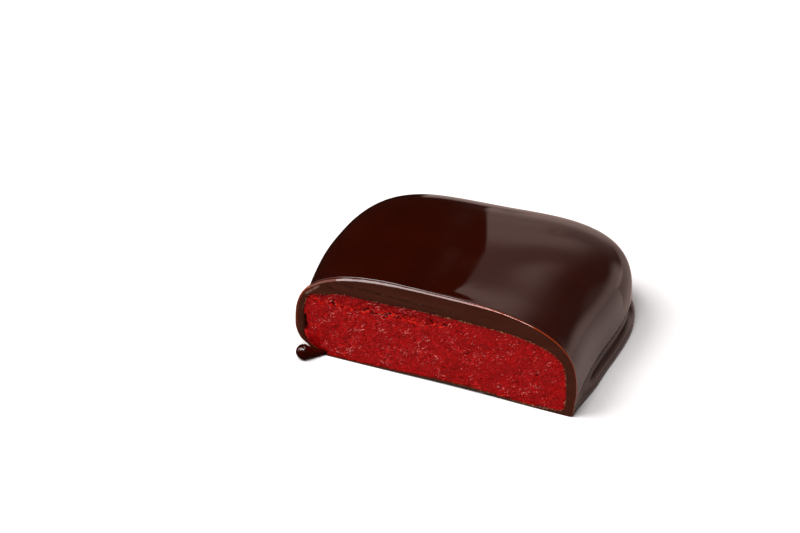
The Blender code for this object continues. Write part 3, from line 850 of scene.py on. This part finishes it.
def cherry_red():
    """Moist red toffee: broken grain with painted shade dark in the gaps and painted highlight pink on the
    crests, clearer where torn.
    """
    material, tree, shader = new_material("cherry_toffee")
    raised_and_painted_light = tree.attribute("raised_and_painted_light")
    grain = tree.texture(6500.0, 2.0)
    # The tone attribute runs these ramps from painted shade in the gaps to painted pink highlight on the
    # crests.
    body = tree.ramp(raised_and_painted_light, (0.0, (0.12, 0.0002, 0.0002)), (0.25, (0.23, 0.0004, 0.0005)),
                     (0.55, (0.33, 0.0008, 0.0009)), (1.0, (0.50, 0.0130, 0.0130)))
    torn = tree.ramp(raised_and_painted_light, (0.0, (0.09, 0.0002, 0.0002)), (0.30, (0.24, 0.0006, 0.0005)),
                     (0.65, (0.46, 0.0060, 0.0018)), (1.0, (0.62, 0.0300, 0.0100)))
    tree.fill(shader, {"Base Color": tree.mix(tree.attribute("torn"), body, torn),
                       "Roughness": tree.to_range(grain, 0.3, 0.7, 0.22, 0.42),
                       "Specular IOR Level": 0.11, "Subsurface Weight": 0.10,
                       "Subsurface Radius": (1.0, 0.15, 0.12), "Subsurface Scale": 0.00018,
                       "Normal": tree.bump(grain, 0.00004, 0.8)})
    return material


def paper_material(name, paper):
    """Plain matte paper with a hardly visible change of tone."""
    material, tree, shader = new_material(name)
    colour = tree.ramp(tree.texture(30.0, 2.0), (0.3, paper), (0.7, tuple(1.02 * c for c in paper)))
    tree.fill(shader, {"Base Color": colour, "Roughness": 0.9, "Specular IOR Level": 0.0})
    return material


def fibre_material():
    """Drawn-out threads of toffee, glossy, coloured pale red as painted glints of the light that they catch.
    """
    material, tree, shader = new_material("toffee_threads_painted_glint")
    tone = tree.texture(900.0, 2.0)
    colour = tree.ramp(tone, (0.42, (0.42, 0.010, 0.010)), (0.68, (0.78, 0.230, 0.215)))
    tree.fill(shader, {"Base Color": colour, "Roughness": 0.32, "Specular IOR Level": 0.25})
    return material


def crumb_material():
    """Dry crumbs and thin flakes of the coating: olive tan to orange-brown."""
    material, tree, shader = new_material("coating_crumbs")
    tone = tree.texture(1700.0, 1.0)
    colour = tree.ramp(tone, (0.30, (0.055, 0.016, 0.006)), (0.48, (0.24, 0.095, 0.030)),
                       (0.70, (0.42, 0.250, 0.120)))
    tree.fill(shader, {"Base Color": colour, "Roughness": 0.6})
    return material


def point_values(obj, name, values):
    layer = obj.data.attributes.new(name, "FLOAT", "POINT")
    layer.data.foreach_set("value", values.astype(np.float32))


def make_shell(shift, gloss, cut):
    points, faces, cap, kinds, rim_glows = shell_parts()
    dark, pale = cut_marks(points)
    front = points[:, 1] < 0.2
    obj = make_piece("chocolate_coating", points, faces, [cap], shift, "chocolate_shell",
                     [gloss, cut], kinds)
    # Painted glow of the thin edge, painted shade in the nicks with the darker streak, and the smeared patch
    # with painted sheen.
    point_values(obj, "rim", rim_glows)
    point_values(obj, "nick", dark * front)
    point_values(obj, "smear_and_sheen", pale * front)


def make_centre(shift, red):
    points, faces, cap, raised_and_painted_light, torn = centre_parts()
    obj = make_piece("cherry_filling", points, faces, [cap], shift, "cherry_centre", [red])
    # The red face's tone, with its painted shade and painted highlight.
    point_values(obj, "raised_and_painted_light", raised_and_painted_light)
    point_values(obj, "torn", torn)


# Threads and specks of the red face, pale as painted glints: counts, sizes, and the stretch of face that they
# stand on.
THREAD_SEED = 11
THREADS = 700
THREAD_STEPS = 7
THREAD_SIDES = 5
THREAD_RADIUS = (0.018, 0.036)
THREAD_TILT = (40.0, 34.0)
THREAD_BEND = 1.3
SPECKS = 1500
SPECK_SIZE = (0.016, 0.036)
DRAWS = 400
FACE_X = (-14.2, 14.0)
FACE_Z = (0.5, 8.9)
FACE_TOP = ((-14.5, -13.0, -9.0, 0.0, 7.0, 11.0, 13.0, 14.4), (7.2, 8.6, 8.75, 8.8, 8.7, 8.2, 7.0, 4.5))
FACE_LOW = ((-14.5, -13.2, -12.0), (2.2, 0.9, 0.4))


def scattered(rng, count):
    """Places on the red face, denser where the toffee is drawn out."""
    found = []
    while len(found) < count:
        x = rng.uniform(*FACE_X, DRAWS)
        z = rng.uniform(*FACE_Z, DRAWS)
        crowd = smooth_step(noise(cut_points(x, z), 1.5, 60), -0.15, 0.35)
        keep = rng.uniform(0.0, 1.0, DRAWS) < 0.12 + crowd
        keep &= (z < np.interp(x, *FACE_TOP) - 0.1) & (z > np.interp(x, *FACE_LOW))
        found += list(zip(x[keep], z[keep]))
    return np.array(found[:count])


def make_threads(shift, material):
    """Hundreds of fine threads and specks that stand proud of the cut toffee, coloured as painted glints."""
    rng = np.random.default_rng(THREAD_SEED)
    at = scattered(rng, THREADS)
    tilt = np.radians(rng.normal(*THREAD_TILT, THREADS))
    bend = rng.normal(0.0, THREAD_BEND, THREADS)
    length = 0.16 + 0.55 * rng.uniform(0.0, 1.0, THREADS) ** 2.0
    length *= 1.0 - 0.35 * smooth_step(at[:, 0], -2.0, 8.0)
    thick = rng.uniform(*THREAD_RADIUS, THREADS)
    step = np.linspace(-0.5, 0.5, THREAD_STEPS)
    heading = tilt[:, None] + bend[:, None] * step
    x = at[:, :1] + length[:, None] * np.cumsum(np.cos(heading), 1) / THREAD_STEPS
    z = at[:, 1:] + length[:, None] * np.cumsum(np.sin(heading), 1) / THREAD_STEPS
    depth = centre_relief(x.ravel(), z.ravel())[0].reshape(x.shape)
    y = np.minimum(depth, depth.mean(1)[:, None] + 0.02) - 0.012
    radius = (thick[:, None] * np.sqrt(np.maximum(1.0 - (2.0 * step) ** 2, 0.04)))[:, :, None, None]
    turn = np.linspace(0.0, 2.0 * math.pi, THREAD_SIDES, endpoint=False)
    side = np.stack([-np.sin(heading), 0.0 * heading, np.cos(heading)], -1)
    ring = (np.stack([x, y, z], -1)[:, :, None, :]
            + radius * np.cos(turn)[:, None] * side[:, :, None, :]
            + radius * np.sin(turn)[:, None] * (0.0, -1.0, 0.0))
    points = ring.reshape(-1, 3)
    index = np.arange(len(points)).reshape(THREADS, THREAD_STEPS, THREAD_SIDES)
    after = np.roll(index, -1, 2)
    faces = np.stack([index[:, :-1], after[:, :-1], after[:, 1:], index[:, 1:]], -1).reshape(-1, 4)
    caps = list(index[:, 0, ::-1]) + list(index[:, -1])
    specks = scattered(rng, SPECKS)
    depth = centre_relief(specks[:, 0], specks[:, 1])[0]
    centres = np.stack([specks[:, 0], depth - 0.004, specks[:, 1]], -1)
    sizes = rng.uniform(*SPECK_SIZE, SPECKS)
    speck_points, speck_faces = blobs(rng, centres, sizes, len(points), 0.7)
    make_piece("toffee_threads_painted_glint", np.concatenate([points, speck_points]), [faces], caps + speck_faces, shift,
               None, [material])


OCTAHEDRON = np.array([(1, 0, 0), (-1, 0, 0), (0, 1, 0), (0, -1, 0), (0, 0, 1), (0, 0, -1)], float)
OCTAHEDRON_FACES = np.array([(0, 2, 4), (2, 1, 4), (1, 3, 4), (3, 0, 4),
                             (2, 0, 5), (1, 2, 5), (3, 1, 5), (0, 3, 5)])


def blobs(rng, centres, sizes, start, flat):
    """Small irregular grains with eight faces each."""
    count = len(centres)
    spin = rng.normal(size=(count, 3, 3))
    turn = np.linalg.qr(spin)[0]
    turn *= np.sign(np.linalg.det(turn))[:, None, None]
    grain = OCTAHEDRON * rng.uniform(0.6, 1.35, (count, 6, 1)) * (1.3, 1.0, flat)
    points = np.einsum("nij,nkj->nki", turn, grain) * sizes[:, None, None] + centres[:, None, :]
    faces = OCTAHEDRON_FACES + start + 6 * np.arange(count)[:, None, None]
    return points.reshape(-1, 3), list(faces.reshape(-1, 3))


# Crumbs along the hollow's outline: share of its length from and to, count and spread; then the streak's.
CRUMB_RUNS = ((0.02, 0.30, 210, 0.05), (0.30, 0.41, 26, 0.05), (0.41, 0.50, 34, 0.06),
              (0.80, 0.92, 70, 0.11), (0.90, 0.995, 80, 0.07))
CRUMB_SEED = 5
CRUMB_SIZE = (0.022, 0.062)
STREAK_CRUMBS = 46
STREAK_CRUMB_SHARE = 0.55
STREAK_CRUMB_X = (-10.8, -8.0, -4.0, 2.5)
STREAK_CRUMB_Z = (10.0, 9.98, 9.95, 9.85)


def make_crumbs(shift, material):
    """Tan and orange crumbs along the joint of coating and toffee, in the base's edge and on the cut."""
    rng = np.random.default_rng(CRUMB_SEED)
    loop = cavity_loop(COLUMNS, LEVELS)
    run = run_along(*loop.T)
    places = []
    for low, high, count, spread in CRUMB_RUNS:
        at = rng.uniform(low, high, count) * run[-1]
        x = np.interp(at, run, loop[:, 0]) + rng.normal(0.0, spread, count)
        z = np.interp(at, run, loop[:, 1]) + rng.normal(0.03, spread, count)
        places.append(np.stack([x, rng.uniform(-0.01, 0.05, count), np.maximum(z, 0.05)], -1))
    x = rng.uniform(STREAK_CRUMB_X[0], STREAK_CRUMB_X[-1], STREAK_CRUMBS)
    z = np.interp(x, STREAK_CRUMB_X, STREAK_CRUMB_Z) + rng.normal(0.0, 0.08, STREAK_CRUMBS)
    places.append(np.stack([x, np.full(STREAK_CRUMBS, 0.012), z], -1))
    centres = np.concatenate(places)
    sizes = rng.uniform(*CRUMB_SIZE, len(centres))
    sizes[-STREAK_CRUMBS:] *= STREAK_CRUMB_SHARE
    points, faces = blobs(rng, centres, sizes, 0, 0.55)
    points[:, 2] = np.maximum(points[:, 2], 0.0)
    make_piece("coating_crumbs", points, [np.zeros((0, 4), int)], faces, shift, None, [material])


# The bead and its tail, whose rows are place and radius.
BEAD_SIDES = 40
BEAD_RINGS = 25
BEAD_FLATNESS = 0.97
TAIL_STEPS = 24
TAIL_ACROSS = (-0.65, 0.76, 0.0)
TAIL = ((*BEAD_AT, BEAD_RADIUS), (-14.05, -0.92, 0.70, 0.66), (-13.55, -0.52, 0.52, 0.50),
        (-13.05, -0.10, 0.38, 0.37), (-12.55, 0.35, 0.28, 0.27), (-11.90, 0.95, 0.22, 0.20))


def closed_faces(index):
    """Quads of a grid whose last column joins the first."""
    return grid_faces(np.hstack([index, index[:, :1]]))


def make_bead(shift, gloss):
    """The bead of coating at the left foot corner with the tail that joins it to the base."""
    fall = np.linspace(0.0, math.pi, BEAD_RINGS)
    turn = np.linspace(0.0, 2.0 * math.pi, BEAD_SIDES, endpoint=False)
    ball = np.stack([np.outer(np.sin(fall), np.cos(turn)), np.outer(np.sin(fall), np.sin(turn)),
                     np.outer(np.cos(fall), np.ones(BEAD_SIDES))], -1) * BEAD_RADIUS
    ball[..., 2] *= BEAD_FLATNESS
    ball = (ball + BEAD_AT).reshape(-1, 3)
    steps = np.linspace(0.0, 1.0, TAIL_STEPS)
    keys = np.linspace(0.0, 1.0, len(TAIL))
    tube = []
    for *place, radius in zip(*(smooth_curve(steps, keys, column) for column in zip(*TAIL))):
        across = np.outer(radius * np.cos(turn), TAIL_ACROSS)
        tube.append(place + across + np.outer(radius * np.sin(turn), (0.0, 0.0, 1.0)))
    points = np.concatenate([ball] + tube)
    points[:, 2] = np.maximum(points[:, 2], 0.0)
    index = np.arange(len(ball)).reshape(BEAD_RINGS, BEAD_SIDES)
    tail = len(ball) + np.arange(TAIL_STEPS * BEAD_SIDES).reshape(TAIL_STEPS, BEAD_SIDES)
    faces = [closed_faces(index)[:, ::-1], closed_faces(tail)]
    make_piece("chocolate_bead", points, faces, [tail[-1], tail[0][::-1]], shift, None, [gloss])


def polar(azimuth, elevation, distance):
    """Place round the sweet: azimuth from straight behind it towards +X."""
    a = math.radians(azimuth)
    e = math.radians(elevation)
    side = distance * math.cos(e)
    return (side * math.sin(a), side * math.cos(a), distance * math.sin(e))


# Soft boxes of the studio, for the panels and the pale table that the gloss mirrors: left and right azimuth
# from straight behind the sweet towards +X, low and high elevation, each in degrees and with the width of its
# soft border, and the brightness.
SOFT_BOXES = (
    ((-19.5, 0.6), (62.0, 16.0), (-10.0, 30.0), (34.5, 3.0), 0.10),
    ((-21.4, 1.6), (62.0, 16.0), (34.5, 3.0), (66.0, 10.0), 0.10),
    ((-19.5, 0.6), (8.0, 30.0), (0.0, 20.0), (34.5, 3.0), 0.27),
    ((-21.4, 1.6), (8.0, 30.0), (34.5, 3.0), (66.0, 10.0), 0.27),
    ((-21.4, 1.6), (0.0, 26.0), (39.5, 4.0), (66.0, 10.0), 0.75),
    ((-19.5, 0.6), (1.0, 22.0), (22.0, 8.0), (31.5, 6.0), 0.43),
    ((-19.5, 0.6), (-13.0, 10.0), (10.0, 14.0), (22.0, 8.0), 0.28),
    ((-20.1, 0.6), (0.0, 16.0), (-8.0, 6.0), (4.0, 14.0), 0.55),
    ((-25.0, 1.0), (0.0, 16.0), (-50.0, 10.0), (-8.0, 6.0), 0.55),
    ((22.0, 12.0), (75.0, 12.0), (-8.0, 8.0), (11.0, 14.0), 0.88),
    ((37.0, 8.0), (75.0, 12.0), (12.0, 12.0), (36.0, 14.0), 0.20),
    ((3.0, 12.0), (36.0, 8.0), (-40.0, 10.0), (-4.0, 8.0), 0.50),
    ((100.0, 25.0), (258.0, 25.0), (34.0, 16.0), (62.0, 12.0), 0.15),
    ((240.0, 12.0), (282.0, 12.0), (8.0, 10.0), (46.0, 10.0), 2.20),
)
WORLD_BASE = 0.012
WORLD_TINT = (1.0, 0.72, 0.65)
TURN_START = math.radians(65.0)
LEAN = 0.065
LEAN_FROM = math.radians(24.0)


def soft_edge(tree, source, middle, width, rising):
    """One border of a soft box: how far a direction is inside it."""
    low = middle - 0.5 * width
    ends = (0.0, 1.0) if rising else (1.0, 0.0)
    return tree.to_range(source, math.radians(low), math.radians(low + width), *ends,
                         interpolation_type="SMOOTHSTEP")


def make_world():
    """Dark studio with soft boxes, as brightness by direction."""
    world = bpy.context.scene.world or bpy.data.worlds.new("studio")
    bpy.context.scene.world = world
    world.use_nodes = True
    tree = Nodes(world.node_tree)
    direction = tree.add("TexCoord", {}).outputs["Generated"]
    x, y, z = tree.add("SeparateXYZ", {0: direction}).outputs
    ahead = tree.calculate("ADD", tree.calculate("ARCTAN2", x, y), TURN_START)
    upright = tree.calculate("SUBTRACT", tree.calculate("FLOORED_MODULO", ahead, 2.0 * math.pi), TURN_START)
    elevation = tree.calculate("ARCSINE", z)
    above = tree.calculate("SUBTRACT", elevation, LEAN_FROM)
    azimuth = tree.calculate("ADD", upright, tree.calculate("MULTIPLY", above, LEAN))
    total = WORLD_BASE
    for left, right, low, high, brightness in SOFT_BOXES:
        part = brightness
        for source, border, rising in ((azimuth, left, True), (azimuth, right, False),
                                       (elevation, low, True), (elevation, high, False)):
            part = tree.calculate("MULTIPLY", part, soft_edge(tree, source, *border, rising))
        total = tree.calculate("ADD", total, part)
    tree.fill(tree.nodes["Background"].inputs, {"Color": WORLD_TINT, "Strength": total})


# Lamps: name, azimuth and elevation in degrees, size in metres, power in watts.
LAMPS = (("main_softbox", -120.0, 57.0, 0.36, 3.6), ("overhead", 172.0, 72.0, 0.22, 2.2))
LAMP_DISTANCE = 0.60
LAMP_AIM = (0.0, 0.0, 0.006)


def make_lights():
    for name, azimuth, elevation, size, watts in LAMPS:
        light = bpy.data.lights.new(name, "AREA")
        light.shape = "SQUARE"
        light.size = size
        light.energy = watts
        obj = add_object(name, light)
        obj.location = polar(azimuth, elevation, LAMP_DISTANCE)
        obj.rotation_euler = (Vector(LAMP_AIM) - obj.location).to_track_quat("-Z", "Y").to_euler()
    make_world()


# Stage, in metres: half the floor's side, and the corners of the mirrored stretch just above it.
FLOOR_REACH = 2.0
TABLE_CORNERS = ((0.0150, -0.0112), (0.10, -0.02), (0.14, 0.09), (0.088, 0.095), (0.016, 0.006))
TABLE_HEIGHT = 0.00002


def make_sheet(name, corners, height, material):
    mesh = bpy.data.meshes.new(name)
    mesh.from_pydata([(x, y, height) for x, y in corners], [], [range(len(corners))])
    mesh.materials.append(material)
    return add_object(name, mesh)


def make_mirrored_table():
    """The stretch of pale table that the right side of the sweet mirrors, its colour dimmed as painted shade
    of the table beside the sweet; only reflections show it.
    """
    # Dimmed below the floor's white: painted shade of the table next to the sweet.
    paper = paper_material("table_dimmed", (0.56, 0.44, 0.41))
    table = make_sheet("table_right", TABLE_CORNERS, TABLE_HEIGHT, paper)
    table.visible_camera = False
    table.visible_diffuse = False
    table.visible_shadow = False


def make_floor():
    corners = [(FLOOR_REACH * x, FLOOR_REACH * y) for x, y in ((-1, -1), (1, -1), (1, 1), (-1, 1))]
    floor = make_sheet("floor", corners, 0.0, paper_material("paper_white", (0.86, 0.86, 0.86)))
    floor.visible_glossy = False


def make_camera(shift):
    """Camera at the photo's angle: the middle of the cut, on the table, falls on its pixel of the photo."""
    a = math.radians(CAMERA_AZIMUTH)
    e = math.radians(CAMERA_ELEVATION)
    back = Vector((math.sin(a) * math.cos(e), -math.cos(a) * math.cos(e), math.sin(e)))
    right = Vector((math.cos(a), math.sin(a), 0.0))
    up = back.cross(right)
    focal = PIXELS_PER_MM * CAMERA_DISTANCE
    to_right = (PHOTO_SIZE[0] / 2.0 - CUT_MIDDLE_PIXEL[0]) / focal
    to_up = (CUT_MIDDLE_PIXEL[1] - PHOTO_SIZE[1] / 2.0) / focal
    look = (right * to_right + up * to_up - back).normalized()
    side = look.cross(up).normalized()
    data = bpy.data.cameras.new("camera")
    data.lens = data.sensor_width * focal / PHOTO_SIZE[0]
    data.clip_start = 0.01
    camera = add_object("camera", data)
    place = (back * CAMERA_DISTANCE + Vector(shift)) * MM
    axes = Matrix((side, side.cross(look), -look)).transposed().to_4x4()
    camera.matrix_world = Matrix.Translation(place) @ axes
    bpy.context.scene.camera = camera


def main():
    bpy.context.scene.view_settings.view_transform = "Standard"
    shift = place_shift(OuterSkin().points)
    make_camera(shift)
    make_shell(shift, gloss_chocolate("chocolate_gloss", 1.0), cut_chocolate())
    make_centre(shift, cherry_red())
    # The bead gets the same chocolate made 1.25 times lighter: painted light.
    make_bead(shift, gloss_chocolate("chocolate_gloss_bead_painted_light", 1.25))
    make_threads(shift, fibre_material())
    make_crumbs(shift, crumb_material())
    make_floor()
    make_mirrored_table()
    make_lights()


main()
